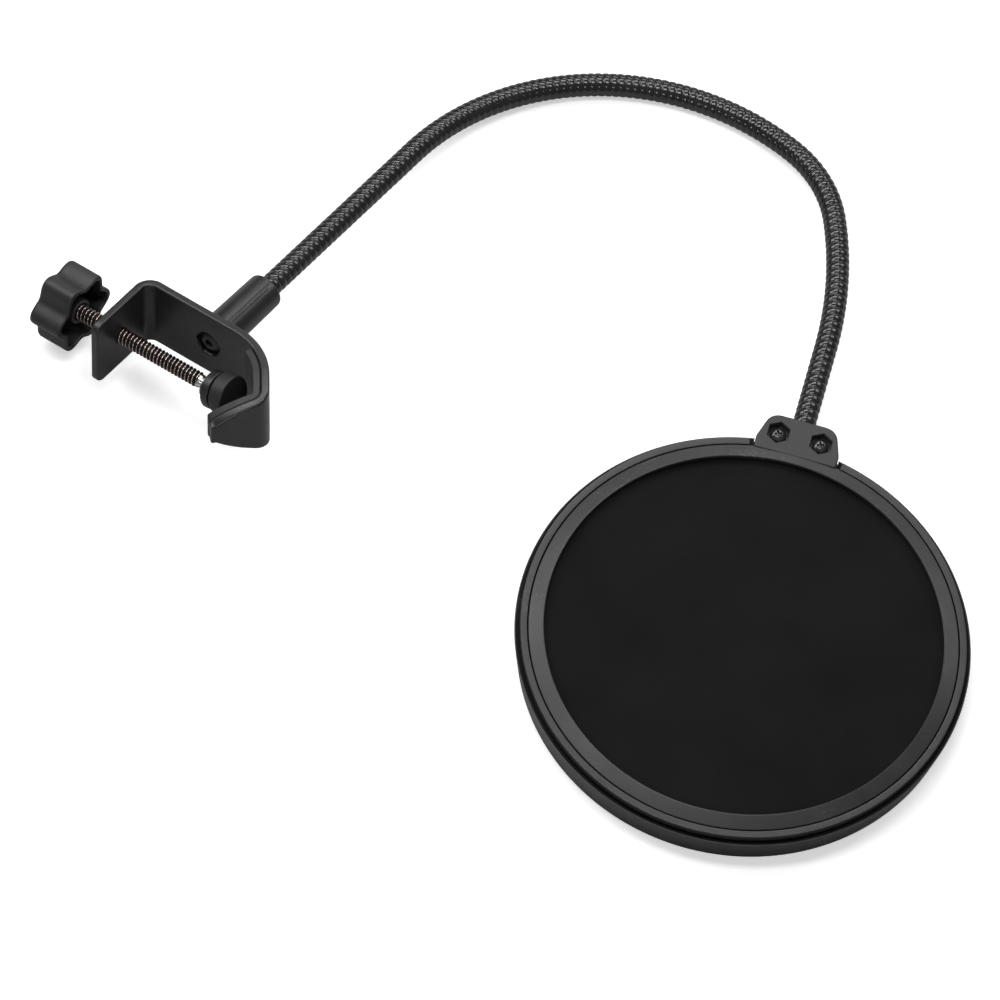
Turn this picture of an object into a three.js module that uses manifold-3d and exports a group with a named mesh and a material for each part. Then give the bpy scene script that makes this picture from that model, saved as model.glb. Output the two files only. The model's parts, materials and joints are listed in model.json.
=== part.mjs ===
// Clamp-on pop filter: a double mesh screen in a hoop, a spiral-wound gooseneck and a screw clamp.
// Millimetres, +Z up. It lies with the hoop flat on a table. The clamp's screw points along +X.
import * as THREE from 'three';
import Module from 'manifold-3d';
import { mergeVertices } from 'three/addons/utils/BufferGeometryUtils.js';

const wasm = await Module();
wasm.setup();

// Driving dimensions
const GAP = 0.3; // between touching pieces
const ROUND = 72; // sides of a large ring
const SMALL_ROUND = 20; // sides of a small round piece

// Head: radii from the ring's centre, heights from its rest face
const OPENING_R = 68.1; // clear opening of the screen
const HEAD_R = 77.8; // outside of the rear ring at the top of its wall
const FOOT_R = 75.6; // and at its rest face: the wall tapers
const HEAD_HEIGHT = 17.7;
const FLANGE = 2; // thickness of each ring's flange
const SKIRT_INNER_R = 71.5; // inside of the front ring's skirt
const SKIRT_OUTER_R = 73.35;
const BAND_INNER_R = SKIRT_OUTER_R + GAP;
const BAND_OUTER_R = 75.1;
const BAND_LIP_R = 76.1; // lip of the hoop band over the rear ring's wall
const BAND_TOP = HEAD_HEIGHT - 1.8;
const BAND_BOTTOM = 7; // where it sits on a ledge in the rear ring
const WALL_INNER_R = BAND_OUTER_R + GAP;
const WALL_TOP = HEAD_HEIGHT - 4.8;
const MESH_THICKNESS = 0.4;
const MESH_R = SKIRT_INNER_R - GAP;
const BAND_GAP_ANGLE = 25; // degrees of the hoop band left open for the tab

// Tab that holds the neck: half on each ring
const TAB_REACH = 85.8; // from the ring's centre
const TAB_BASE_WIDTH = 29;
const TAB_TIP_WIDTH = 23;
const TAB_TOP = HEAD_HEIGHT - 1.1;
const TAB_BOTTOM = TAB_TOP - 11.4;
const TAB_SPLIT = HEAD_HEIGHT - 6.5; // height of the joint between the two halves, and of the neck's axis
const TAB_SCREW_R = 79; // from the ring's centre
const TAB_SCREW_SPACING = 14.9;
const TAB_HEX_ACROSS_FLATS = 7; // recess for each screw's head
const TAB_HEX_DEPTH = 3;
const TAB_SCREW_HOLE_R = 1.9;
const TAB_SCREW_SHANK_R = 1.5;
const TAB_SCREW_END = TAB_BOTTOM + 1.5; // height of the shank's end
const TAB_SCREW_HEAD_R = 2.7;
const TAB_SCREW_HEAD_HEIGHT = 1.9;

// Gooseneck
const NECK_R = 4;
const NECK_JOINTS = 12;
const NECK_BEND = 30; // degrees, the most that one joint bends
const NECK_ROOT_Y = 12.6; // where the winding starts inside the socket
const NECK_END_R = 80.3; // where it ends inside the tab
const FERRULE_R = 4.7;
const TIP_FERRULE_LENGTH = 5;
// Stretches from the socket to the tab: length, and turn to the left in degrees
const NECK_TURNS = [[18, 0.1], [79, 0], [146.5, -92], [31.5, -42], [50.5, -20.5], [38.5, 0]];
// The same for its climb: down at first, then level on the table, then up to the tab
const NECK_CLIMBS = [[87.5, 0], [94, 7.95], [75, 4.49], [107.5, -4.49]];
const NECK_LENGTH = NECK_TURNS.reduce((sum, [length]) => sum + length, 0);
const FIRST_JOINT = 26; // along the neck
const LAST_JOINT = 349;
const JOINT_GAP = 0.15; // from a joint's centre to each cone's tip

// Clamp: x along the screw, y along the neck socket, z across its width
const CLAMP_WIDTH = 27.6;
const CLAMP_RISE = 14.1; // degrees that the screw points upwards
const CLAMP_ROLL = -8.2; // degrees that the socket points downwards
const CLAMP_PLACE = [0, 0, 17.98]; // so that the knob rests on the table
const STRAP = 3; // thickness of the clamp
const LEG_X = -2.4; // outer face of the leg
const LEG_END_Y = -30.8;
const HOOK_START_X = 37.5; // where the back starts to curve into the hook
const CLAMP_END_X = 80; // beyond the hook
const LINER = 2.5; // thickness of the jaw liner
const LINER_INSET = 0.6; // from the clamp's edges
const SCREW_Y = -17.8; // screw axis
const SCREW_R = 2.85;
const SCREW_START_X = -25;
const SCREW_NECK_X = 35; // where the thread ends
const SCREW_TIP_R = 1.8; // neck behind the ball at its tip
const BALL_X = 41.8;
const BALL_R = 2.6;
const WASHER_X = 37.4;
const WASHER_R = 4.2;
const PAD_TILT = 12; // degrees that the pad hangs back on the ball
const PAD_CUP_R = 6.8;
const PAD_HUB_R = 5.2;
const PAD_HUB_X = 4.6; // front of the hub, and back of the cup, from the ball's centre
const PAD_BACK_X = -2;
const PAD_FACE_R = 7.4;
const PAD_FACE_X = 7.6; // front of the pad, from the ball's centre
const KNOB_R = 14.4;
const KNOB_X = -28.4; // outer face of the knob
const KNOB_THICKNESS = 13;
const KNOB_LOBES = 6;
const KNOB_BOSS_R = 5;
const KNOB_BOSS_END = -16.9; // inside the knob's rim
const KNOB_PHASE = 23; // degrees that its lobes are turned
const SOCKET_X = 26.3; // neck socket axis
const SOCKET_LENGTH = 29;
const SOCKET_R = 6.9;
const BOLT_R = 2.5;
const BOLT_HEAD_R = 4;
const BOLT_DRIVE = 3; // across the flats
const BOLT_END_Y = 8;
const RECESS_ACROSS_FLATS = 9.2;
const RECESS_DEPTH = 2.2;

const radians = THREE.MathUtils.degToRad;

// A closed geometry as a solid for cuts and joins, its faces turned out.
function solid(geometry) {
  const bare = geometry.index ? geometry.toNonIndexed() : geometry.clone();
  bare.deleteAttribute('normal');
  bare.deleteAttribute('uv');
  const merged = mergeVertices(bare, 1e-5);
  const vertProperties = new Float32Array(merged.attributes.position.array);
  const triVerts = new Uint32Array(merged.index.array);
  const whole = [];
  for (let i = 0; i < triVerts.length; i += 3) {
    const [a, b, c] = triVerts.slice(i, i + 3);
    if (a !== b && b !== c && c !== a) whole.push(a, b, c);
  }
  if (signedVolume(vertProperties, whole) < 0) whole.reverse();
  const mesh = new wasm.Mesh({ numProp: 3, vertProperties, triVerts: new Uint32Array(whole) });
  return new wasm.Manifold(mesh);
}

function signedVolume(positions, triangles) {
  const corner = (index) => new THREE.Vector3().fromArray(positions, 3 * index);
  let sum = 0;
  for (let i = 0; i < triangles.length; i += 3) {
    const [a, b, c] = [0, 1, 2].map((k) => corner(triangles[i + k]));
    sum += a.dot(b.cross(c));
  }
  return sum / 6;
}

function geometryOf(body) {
  const mesh = body.getMesh();
  const geometry = new THREE.BufferGeometry();
  geometry.setAttribute('position', new THREE.BufferAttribute(mesh.vertProperties, 3));
  geometry.setIndex(new THREE.BufferAttribute(mesh.triVerts, 1));
  geometry.computeVertexNormals();
  return geometry;
}

// A profile of [radius, height] points turned about +Z.
function turned(profile, sides = ROUND) {
  const closed = [...profile, profile[0]].map(([r, z]) => new THREE.Vector2(r, z));
  return solid(new THREE.LatheGeometry(closed, sides).rotateX(Math.PI / 2));
}

function rod(radius, from, to, sides = SMALL_ROUND) {
  return turned([[0, from], [radius, from], [radius, to], [0, to]], sides);
}

// An outline in x and y, extruded from one height to another.
function slab(shape, from, to) {
  const geometry = new THREE.ExtrudeGeometry(shape, {
    depth: to - from,
    bevelEnabled: false,
    curveSegments: 8,
  });
  return solid(geometry.translate(0, 0, from));
}

function hexRod(acrossFlats, from, to) {
  return rod(acrossFlats / Math.sqrt(3), from, to, 6);
}

function moved(body, x, y, z) {
  return body.translate([x, y, z]);
}

// Turns a piece made about +Z so that it lies along +X, or along +Y.
function alongX(body) {
  return body.rotate([0, 90, 0]);
}

function alongY(body) {
  return body.rotate([-90, 0, 0]);
}

function named(name, body, color, roughness, metalness = 0) {
  const material = new THREE.MeshStandardMaterial({ color, roughness, metalness });
  const mesh = new THREE.Mesh(geometryOf(body), material);
  mesh.name = name;
  return mesh;
}

// Head, built with the tab towards +X

// The tab's outline, with rounded shoulders, grown by a margin.
function tabShape(margin = 0) {
  const base = TAB_BASE_WIDTH / 2 + margin;
  const tip = TAB_TIP_WIDTH / 2 + margin;
  const end = TAB_REACH + margin;
  const shoulder = 3;
  const shape = new THREE.Shape();
  shape.moveTo(SKIRT_INNER_R, -base);
  shape.lineTo(BAND_LIP_R, -base);
  shape.lineTo(end - shoulder, -tip);
  shape.quadraticCurveTo(end, -tip, end, -tip + shoulder);
  shape.lineTo(end, tip - shoulder);
  shape.quadraticCurveTo(end, tip, end - shoulder, tip);
  shape.lineTo(BAND_LIP_R, base);
  shape.lineTo(SKIRT_INNER_R, base);
  return shape;
}

function tabScrewPlaces() {
  return [-TAB_SCREW_SPACING / 2, TAB_SCREW_SPACING / 2];
}

// Room in the tab for the neck's end and its ferrule.
function neckRoom() {
  const bore = rod(FERRULE_R + GAP, NECK_END_R - TIP_FERRULE_LENGTH - 2 * GAP, NECK_END_R);
  const way = rod(NECK_R + GAP, NECK_END_R - 1, TAB_REACH + 1);
  return moved(alongX(bore.add(way)), 0, 0, TAB_SPLIT);
}

function frontRing() {
  const ring = turned([
    [OPENING_R, HEAD_HEIGHT],
    [OPENING_R, HEAD_HEIGHT - FLANGE],
    [SKIRT_INNER_R, HEAD_HEIGHT - FLANGE - GAP],
    [SKIRT_INNER_R, FLANGE + GAP],
    [SKIRT_OUTER_R, FLANGE + GAP],
    [SKIRT_OUTER_R, BAND_TOP],
  ]);
  const inside = rod(SKIRT_INNER_R, 0, HEAD_HEIGHT, ROUND);
  let half = ring.add(slab(tabShape(), TAB_SPLIT + GAP / 2, TAB_TOP).subtract(inside));
  half = half.subtract(neckRoom());
  for (const y of tabScrewPlaces()) {
    const recess = hexRod(TAB_HEX_ACROSS_FLATS, TAB_TOP - TAB_HEX_DEPTH, TAB_TOP + 1);
    const hole = rod(TAB_SCREW_HOLE_R, 0, TAB_TOP);
    half = half.subtract(moved(recess.add(hole), TAB_SCREW_R, y, 0));
  }
  return half;
}

function rearRing() {
  const edge = 0.4;
  const ring = turned([
    [OPENING_R, 0],
    [OPENING_R, FLANGE],
    [BAND_INNER_R, FLANGE],
    [BAND_INNER_R, BAND_BOTTOM - GAP],
    [WALL_INNER_R, BAND_BOTTOM - GAP],
    [WALL_INNER_R, WALL_TOP],
    [HEAD_R - edge, WALL_TOP],
    [HEAD_R, WALL_TOP - edge],
    [FOOT_R, edge],
    [FOOT_R - edge, 0],
  ]);
  const inside = rod(BAND_INNER_R, 0, HEAD_HEIGHT, ROUND);
  const tab = slab(tabShape(), TAB_BOTTOM, TAB_SPLIT - GAP / 2).subtract(inside);
  const clearance = slab(tabShape(GAP), TAB_SPLIT - GAP / 2, HEAD_HEIGHT);
  let half = ring.subtract(clearance).add(tab).subtract(neckRoom());
  for (const y of tabScrewPlaces()) {
    const hole = rod(TAB_SCREW_HOLE_R, TAB_SCREW_END - GAP, TAB_SPLIT + 1);
    half = half.subtract(moved(hole, TAB_SCREW_R, y, 0));
  }
  return half;
}

// The C-shaped band between the two rings, open where the tab comes out.
function hoopBand() {
  const ring = turned([
    [BAND_INNER_R, BAND_BOTTOM],
    [BAND_OUTER_R, BAND_BOTTOM],
    [BAND_OUTER_R, WALL_TOP + GAP],
    [BAND_LIP_R, WALL_TOP + GAP],
    [BAND_LIP_R, BAND_TOP],
    [BAND_INNER_R, BAND_TOP],
  ]);
  const halfAngle = radians(BAND_GAP_ANGLE / 2);
  const reach = 2 * HEAD_R;
  const wedge = new THREE.Shape();
  wedge.moveTo(0, 0);
  wedge.lineTo(reach * Math.cos(halfAngle), -reach * Math.sin(halfAngle));
  wedge.lineTo(reach * Math.cos(halfAngle), reach * Math.sin(halfAngle));
  return ring.subtract(slab(wedge, -1, HEAD_HEIGHT + 1));
}

// The ring that holds the two meshes apart.
function spacerRing() {
  const inner = OPENING_R + 0.5;
  const low = FLANGE + MESH_THICKNESS + 2 * GAP;
  const high = HEAD_HEIGHT - FLANGE - MESH_THICKNESS - 3 * GAP;
  return turned([[inner, low], [MESH_R, low], [MESH_R, high], [inner, high]]);
}

function meshDisc(from) {
  return rod(MESH_R, from, from + MESH_THICKNESS, ROUND);
}

// A pan-head screw with a cross slot, in its hexagonal recess.
function tabScrew(y) {
  const seat = TAB_TOP - TAB_HEX_DEPTH + GAP;
  const top = seat + TAB_SCREW_HEAD_HEIGHT;
  const shoulder = top - 0.9;
  const head = turned([
    [0, seat],
    [TAB_SCREW_HEAD_R, seat],
    [TAB_SCREW_HEAD_R, shoulder],
    [TAB_SCREW_HEAD_R - 1.1, top],
    [0, top],
  ], SMALL_ROUND);
  const slot = slab(bar(2.6, 0.6), shoulder, top + 1);
  const cross = slot.rotate([0, 0, 45]).add(slot.rotate([0, 0, 135]));
  const shank = rod(TAB_SCREW_SHANK_R, TAB_SCREW_END, seat);
  return moved(head.add(shank).subtract(cross), TAB_SCREW_R, y, 0);
}

function bar(length, width) {
  const shape = new THREE.Shape();
  shape.moveTo(-length / 2, -width / 2);
  shape.lineTo(length / 2, -width / 2);
  shape.lineTo(length / 2, width / 2);
  shape.lineTo(-length / 2, width / 2);
  return shape;
}

function tipFerrule() {
  const end = NECK_END_R - GAP;
  return moved(alongX(rod(FERRULE_R, end - TIP_FERRULE_LENGTH, end)), 0, 0, TAB_SPLIT);
}

function head() {
  const [left, right] = tabScrewPlaces();
  const frontMeshBase = HEAD_HEIGHT - FLANGE - 2 * GAP - MESH_THICKNESS;
  const group = new THREE.Group();
  group.add(named('front_ring', frontRing(), 0x2a2a2a, 0.45));
  group.add(named('rear_ring', rearRing(), 0x222222, 0.45));
  group.add(named('hoop_band', hoopBand(), 0x262626, 0.4));
  group.add(named('spacer_ring', spacerRing(), 0x1c1c1c, 0.6));
  group.add(named('front_mesh', meshDisc(frontMeshBase), 0x101010, 0.95));
  group.add(named('rear_mesh', meshDisc(FLANGE + GAP), 0x101010, 0.95));
  group.add(named('tab_screw_left', tabScrew(left), 0x202020, 0.3, 0.9));
  group.add(named('tab_screw_right', tabScrew(right), 0x202020, 0.3, 0.9));
  group.add(named('neck_tip_ferrule', tipFerrule(), 0x303030, 0.35, 0.9));
  return group;
}

// Gooseneck

// Heading or climb reached after a length along a list of stretches.
function turnedBy(stretches, length) {
  let left = length;
  let turn = 0;
  for (const [stretch, angle] of stretches) {
    const part = Math.min(left, stretch);
    turn += (angle * part) / stretch;
    left -= part;
  }
  return radians(turn);
}

function clampMatrix() {
  const turn = new THREE.Euler(radians(CLAMP_ROLL), -radians(CLAMP_RISE), 0, 'YXZ');
  return new THREE.Matrix4().makeRotationFromEuler(turn).setPosition(...CLAMP_PLACE);
}

// The neck's direction at a length along it, with the directions to its left and above it.
function neckAxes(length) {
  const start = new THREE.Vector3().setFromMatrixColumn(clampMatrix(), 1);
  const heading = Math.atan2(start.y, start.x) + turnedBy(NECK_TURNS, length);
  const climb = Math.asin(start.z) + turnedBy(NECK_CLIMBS, length);
  const level = new THREE.Vector3(Math.cos(heading), Math.sin(heading), 0);
  const left = new THREE.Vector3(-Math.sin(heading), Math.cos(heading), 0);
  const ahead = level.multiplyScalar(Math.cos(climb)).setZ(Math.sin(climb));
  return { ahead, left, above: ahead.clone().cross(left), heading };
}

// Points along the neck's centre line, a step apart.
function neckLine(step) {
  const point = new THREE.Vector3(SOCKET_X, NECK_ROOT_Y, 0).applyMatrix4(clampMatrix());
  const points = [point.clone()];
  for (let length = step / 2; length < NECK_LENGTH; length += step) {
    point.addScaledVector(neckAxes(length).ahead, step);
    points.push(point.clone());
  }
  return points;
}

const LINE_STEP = 0.5;
const line = neckLine(LINE_STEP);

function neckPoint(length) {
  const place = THREE.MathUtils.clamp(length / LINE_STEP, 0, line.length - 1.001);
  const index = Math.floor(place);
  return line[index].clone().lerp(line[index + 1], place - index);
}

// A geometry made about +Z, bent so that its axis follows the neck.
function bentAlongNeck(geometry) {
  const places = geometry.attributes.position;
  for (let i = 0; i < places.count; i += 1) {
    const { left, above } = neckAxes(places.getZ(i));
    const point = neckPoint(places.getZ(i));
    point.addScaledVector(left, places.getX(i)).addScaledVector(above, places.getY(i));
    places.setXYZ(i, point.x, point.y, point.z);
  }
  return geometry;
}

function jointPlaces() {
  const step = (LAST_JOINT - FIRST_JOINT) / (NECK_JOINTS - 1);
  return Array.from({ length: NECK_JOINTS }, (_, index) => FIRST_JOINT + index * step);
}

// One stretch of the winding. Its ends at a joint are blunt cones, which leave room to bend.
function neckCoil(from, to, coneAtStart, coneAtEnd) {
  const cone = NECK_R * Math.tan(radians(NECK_BEND / 2));
  const start = coneAtStart ? from + JOINT_GAP : from;
  const end = coneAtEnd ? to - JOINT_GAP : to;
  const wallStart = coneAtStart ? start + cone : start;
  const wallEnd = coneAtEnd ? end - cone : end;
  const stations = 6;
  const profile = [new THREE.Vector2(0, start)];
  for (let i = 0; i <= stations; i += 1) {
    profile.push(new THREE.Vector2(NECK_R, wallStart + ((wallEnd - wallStart) * i) / stations));
  }
  profile.push(new THREE.Vector2(0, end));
  return solid(bentAlongNeck(new THREE.LatheGeometry(profile, 12).rotateX(Math.PI / 2)));
}

function neck() {
  const group = new THREE.Group();
  const ends = [0, ...jointPlaces(), NECK_LENGTH];
  for (let i = 0; i <= NECK_JOINTS; i += 1) {
    const coil = neckCoil(ends[i], ends[i + 1], i > 0, i < NECK_JOINTS);
    const number = String(i).padStart(2, '0');
    group.add(named(`neck_coil_${number}`, coil, 0x181818, 0.35, 0.5));
  }
  return group;
}

// Clamp

// The clamp strap's outer edge, from the leg's free end round to the hook's tip, in x and y.
function strapCurves() {
  const corner = 6.5;
  const backRadius = 27;
  const backTurn = radians(52);
  const linerTurn = radians(22);
  const tipRadius = 6.5;
  const tipTurn = radians(75.5);
  const straight = 6.5;
  const tipLength = 15.3;
  const heading = new THREE.Vector2(Math.cos(backTurn), -Math.sin(backTurn));
  const inward = new THREE.Vector2(-Math.sin(backTurn), -Math.cos(backTurn));
  const backCentre = new THREE.Vector2(HOOK_START_X, -backRadius);
  const backEnd = backCentre.clone().addScaledVector(inward, -backRadius);
  const bendStart = backEnd.clone().addScaledVector(heading, straight);
  const bendCentre = bendStart.clone().addScaledVector(inward, tipRadius);
  const lastTurn = backTurn + tipTurn;
  const lastHeading = new THREE.Vector2(Math.cos(lastTurn), -Math.sin(lastTurn));
  const lastInward = new THREE.Vector2(-Math.sin(lastTurn), -Math.cos(lastTurn));
  const bendEnd = bendCentre.clone().addScaledVector(lastInward, -tipRadius);
  const quarter = Math.PI / 2;
  const arc = (centre, radius, from, to) =>
    new THREE.EllipseCurve(centre.x, centre.y, radius, radius, from, to, true);
  const cornerCentre = new THREE.Vector2(LEG_X + corner, -corner);
  return [
    new THREE.LineCurve(new THREE.Vector2(LEG_X, LEG_END_Y), new THREE.Vector2(LEG_X, -corner)),
    arc(cornerCentre, corner, Math.PI, quarter),
    new THREE.LineCurve(new THREE.Vector2(LEG_X + corner, 0), new THREE.Vector2(HOOK_START_X, 0)),
    arc(backCentre, backRadius, quarter, quarter - linerTurn),
    arc(backCentre, backRadius, quarter - linerTurn, quarter - backTurn),
    new THREE.LineCurve(backEnd, bendStart),
    arc(bendCentre, tipRadius, quarter - backTurn, quarter - lastTurn),
    new THREE.LineCurve(bendEnd, bendEnd.clone().addScaledVector(lastHeading, tipLength)),
  ];
}

// Points at a distance inwards of a curve.
function offsetPoints(curve, distance) {
  const steps = curve instanceof THREE.LineCurve ? 1 : 8;
  return Array.from({ length: steps + 1 }, (_, i) => {
    const tangent = curve.getTangent(i / steps);
    const inward = new THREE.Vector2(tangent.y, -tangent.x);
    return curve.getPoint(i / steps).addScaledVector(inward, distance);
  });
}

// The area between two distances inwards of a chain of curves.
function bandShape(curves, near, far) {
  const along = (distance) => curves.flatMap((curve) => offsetPoints(curve, distance));
  const outline = [...along(near), ...along(far).reverse()];
  const apart = outline.filter((point, i) => i === 0 || point.distanceTo(outline[i - 1]) > 0.01);
  return new THREE.Shape(apart);
}

// The clamp's outline seen along the screw, extruded from one x to another. Trim draws its free end.
function sideOutline(inset, fromX, toX, trim) {
  const half = CLAMP_WIDTH / 2 - inset;
  const shape = new THREE.Shape();
  shape.moveTo(1, -half);
  trim(shape, half);
  shape.lineTo(1, half);
  return slab(shape, fromX, toX).rotate([90, 0, 90]);
}

// The hook narrows towards its tip, past the point where its sides end.
function hookTrim(shape, half) {
  const sidesEnd = -10;
  const bulge = { y: -26, half: half - 1.9 };
  const tip = { y: -34, half: half - 9.7 };
  shape.lineTo(sidesEnd, -half);
  shape.quadraticCurveTo(bulge.y, -bulge.half, tip.y, -tip.half);
  shape.lineTo(tip.y, tip.half);
  shape.quadraticCurveTo(bulge.y, bulge.half, sidesEnd, half);
}

// The leg's free end has round corners.
function legTrim(shape, half) {
  const corner = 4;
  shape.lineTo(LEG_END_Y + corner, -half);
  shape.quadraticCurveTo(LEG_END_Y, -half, LEG_END_Y, -half + corner);
  shape.lineTo(LEG_END_Y, half - corner);
  shape.quadraticCurveTo(LEG_END_Y, half, LEG_END_Y + corner, half);
}

function clampFrame() {
  const half = CLAMP_WIDTH / 2;
  const strap = slab(bandShape(strapCurves(), 0, STRAP), -half, half);
  const leg = sideOutline(0, LEG_X - 1, SOCKET_X, legTrim);
  const outline = leg.add(sideOutline(0, SOCKET_X, CLAMP_END_X, hookTrim));
  const screwHole = alongX(rod(SCREW_R + GAP, LEG_X - 1, LEG_X + STRAP + 1));
  const recess = hexRod(RECESS_ACROSS_FLATS, -STRAP - 1, RECESS_DEPTH - STRAP);
  const boltHole = alongY(recess.add(rod(BOLT_R + GAP, -STRAP, 1)));
  const cuts = moved(screwHole, 0, SCREW_Y, 0).add(moved(boltHole, SOCKET_X, 0, 0));
  return strap.intersect(outline).subtract(cuts);
}

function jawLiner() {
  const half = CLAMP_WIDTH / 2;
  const near = STRAP + GAP;
  const band = slab(bandShape(strapCurves().slice(4), near, near + LINER), -half, half);
  return band.intersect(sideOutline(LINER_INSET, 0, CLAMP_END_X, hookTrim));
}

// The tapered tube that the neck stands in, with a low foot and a round mouth.
function neckSocket() {
  const mouth = NECK_R + GAP;
  const bore = FERRULE_R + GAP;
  const foot = SOCKET_R + 0.4;
  const end = SOCKET_R - 0.4;
  const profile = [
    [bore, GAP],
    [foot, GAP],
    [foot, 2],
    [SOCKET_R, 2.4],
    [end, SOCKET_LENGTH - 1.5],
    [end - 0.6, SOCKET_LENGTH - 0.4],
    [end - 1.4, SOCKET_LENGTH],
    [mouth, SOCKET_LENGTH],
    [mouth, NECK_ROOT_Y],
    [bore, NECK_ROOT_Y],
  ];
  return moved(alongY(turned(profile, 32)), SOCKET_X, 0, 0);
}

// The ferrule on the neck's end, with a blind hole for the bolt.
function rootFerrule() {
  const hole = BOLT_R + GAP;
  const end = NECK_ROOT_Y - GAP;
  const profile = [
    [hole, GAP],
    [FERRULE_R, GAP],
    [FERRULE_R, end],
    [0, end],
    [0, BOLT_END_Y + 1],
    [hole, BOLT_END_Y + 1],
  ];
  return moved(alongY(turned(profile, SMALL_ROUND)), SOCKET_X, 0, 0);
}

// Button-head bolt with a hexagonal drive, from the recess into the root ferrule.
function socketBolt() {
  const seat = RECESS_DEPTH - STRAP - GAP;
  const shoulder = seat - 0.6;
  const top = seat - 1.5;
  const head = turned([
    [0, seat],
    [BOLT_HEAD_R, seat],
    [BOLT_HEAD_R, shoulder],
    [BOLT_HEAD_R - 1.4, top],
    [0, top],
  ], SMALL_ROUND);
  const drive = hexRod(BOLT_DRIVE, top - 1, shoulder);
  const shank = rod(BOLT_R, seat, BOLT_END_Y);
  return moved(alongY(head.add(shank).subtract(drive)), SOCKET_X, 0, 0);
}

// The screw, with the neck and ball at its tip.
function clampScrew() {
  const shank = turned([
    [0, SCREW_START_X],
    [SCREW_R, SCREW_START_X],
    [SCREW_R, SCREW_NECK_X],
    [SCREW_TIP_R, SCREW_NECK_X + 1],
    [SCREW_TIP_R, BALL_X],
    [0, BALL_X],
  ], SMALL_ROUND);
  const ball = solid(new THREE.SphereGeometry(BALL_R, 16, 10)).translate([0, 0, BALL_X]);
  return moved(alongX(shank.add(ball)), 0, SCREW_Y, 0);
}

// A round outline with finger lobes.
function lobedShape(radius, depth) {
  const points = 10 * KNOB_LOBES;
  const outline = Array.from({ length: points }, (_, i) => {
    const angle = (2 * Math.PI * i) / points;
    const reach = radius - (depth * (1 - Math.cos(KNOB_LOBES * angle))) / 2;
    return new THREE.Vector2(reach * Math.cos(angle), reach * Math.sin(angle));
  });
  return new THREE.Shape(outline);
}

// Knob, hollow towards the clamp, with a boss round the screw's end.
function knob() {
  const open = KNOB_X + KNOB_THICKNESS;
  const wall = 2;
  const floor = 3;
  const flute = 3;
  const shell = slab(lobedShape(KNOB_R, flute), KNOB_X, open).rotate([0, 0, KNOB_PHASE]);
  const inside = slab(lobedShape(KNOB_R - wall, flute), KNOB_X + floor, open + 1);
  const hollow = inside.rotate([0, 0, KNOB_PHASE]);
  const boss = rod(KNOB_BOSS_R, KNOB_X + 1, KNOB_BOSS_END);
  const bore = rod(SCREW_R + GAP, SCREW_START_X - GAP, open);
  return moved(alongX(shell.subtract(hollow).add(boss).subtract(bore)), 0, SCREW_Y, 0);
}

// Washer between the screw's shoulder and the pad.
function padWasher() {
  const inner = SCREW_TIP_R + GAP;
  const front = WASHER_X + 0.8;
  const profile = [[inner, WASHER_X], [WASHER_R, WASHER_X], [WASHER_R, front], [inner, front]];
  return moved(alongX(turned(profile, SMALL_ROUND)), 0, SCREW_Y, 0);
}

// Swivel pad, measured from the ball's centre: a cup over the ball, and a thick face pushed over its hub.
function padCup() {
  const mouth = BALL_R + 0.6;
  const socket = BALL_R + GAP;
  const step = 1.2;
  const profile = [
    [mouth, PAD_BACK_X],
    [PAD_CUP_R, PAD_BACK_X],
    [PAD_CUP_R, step],
    [PAD_HUB_R, step],
    [PAD_HUB_R, PAD_HUB_X],
    [0, PAD_HUB_X],
    [0, socket],
    [socket, socket],
    [socket, 0],
  ];
  return alongX(turned(profile, 24));
}

function padFace() {
  const hub = PAD_HUB_R + GAP;
  const back = 2.2;
  const edge = 0.6;
  const profile = [
    [hub, back],
    [PAD_FACE_R, back],
    [PAD_FACE_R, PAD_FACE_X - edge],
    [PAD_FACE_R - edge, PAD_FACE_X],
    [0, PAD_FACE_X],
    [0, PAD_HUB_X + GAP],
    [hub, PAD_HUB_X + GAP],
  ];
  return alongX(turned(profile, 24));
}

function pad() {
  const group = new THREE.Group();
  group.add(named('pad_cup', padCup(), 0x202020, 0.5));
  group.add(named('pad_face', padFace(), 0x1c1c1c, 0.6));
  group.position.set(BALL_X, SCREW_Y, 0);
  group.rotation.y = -radians(PAD_TILT);
  return group;
}

function clamp() {
  const group = new THREE.Group();
  group.add(named('clamp_frame', clampFrame(), 0x222222, 0.4, 0.2));
  group.add(named('jaw_liner', jawLiner(), 0x1a1a1a, 0.6));
  group.add(named('neck_socket', neckSocket(), 0x202020, 0.4));
  group.add(named('neck_root_ferrule', rootFerrule(), 0x303030, 0.35, 0.9));
  group.add(named('socket_bolt', socketBolt(), 0x1c1c1c, 0.35, 0.8));
  group.add(named('clamp_screw', clampScrew(), 0x6a6260, 0.3, 1));
  group.add(named('knob', knob(), 0x2a2a2a, 0.6));
  group.add(named('pad_washer', padWasher(), 0x403c3a, 0.35, 1));
  group.add(pad());
  group.applyMatrix4(clampMatrix());
  return group;
}

// The head, turned so that its tab takes the neck's end, with its rest face on the table.
function placedHead() {
  const group = head();
  const { heading, ahead } = neckAxes(NECK_LENGTH);
  const place = neckPoint(NECK_LENGTH).addScaledVector(ahead, NECK_END_R);
  group.rotation.z = heading + Math.PI;
  group.position.set(place.x, place.y, 0);
  return group;
}

const popFilter = new THREE.Group();
popFilter.add(clamp(), neck(), placedHead());

// The origin is under the middle of the whole, at the height of the table.
popFilter.updateMatrixWorld(true);
const box = new THREE.Box3().setFromObject(popFilter, true);
popFilter.position.set(-(box.min.x + box.max.x) / 2, -(box.min.y + box.max.y) / 2, -box.min.z);
popFilter.updateMatrixWorld(true);

export default popFilter;
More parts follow.
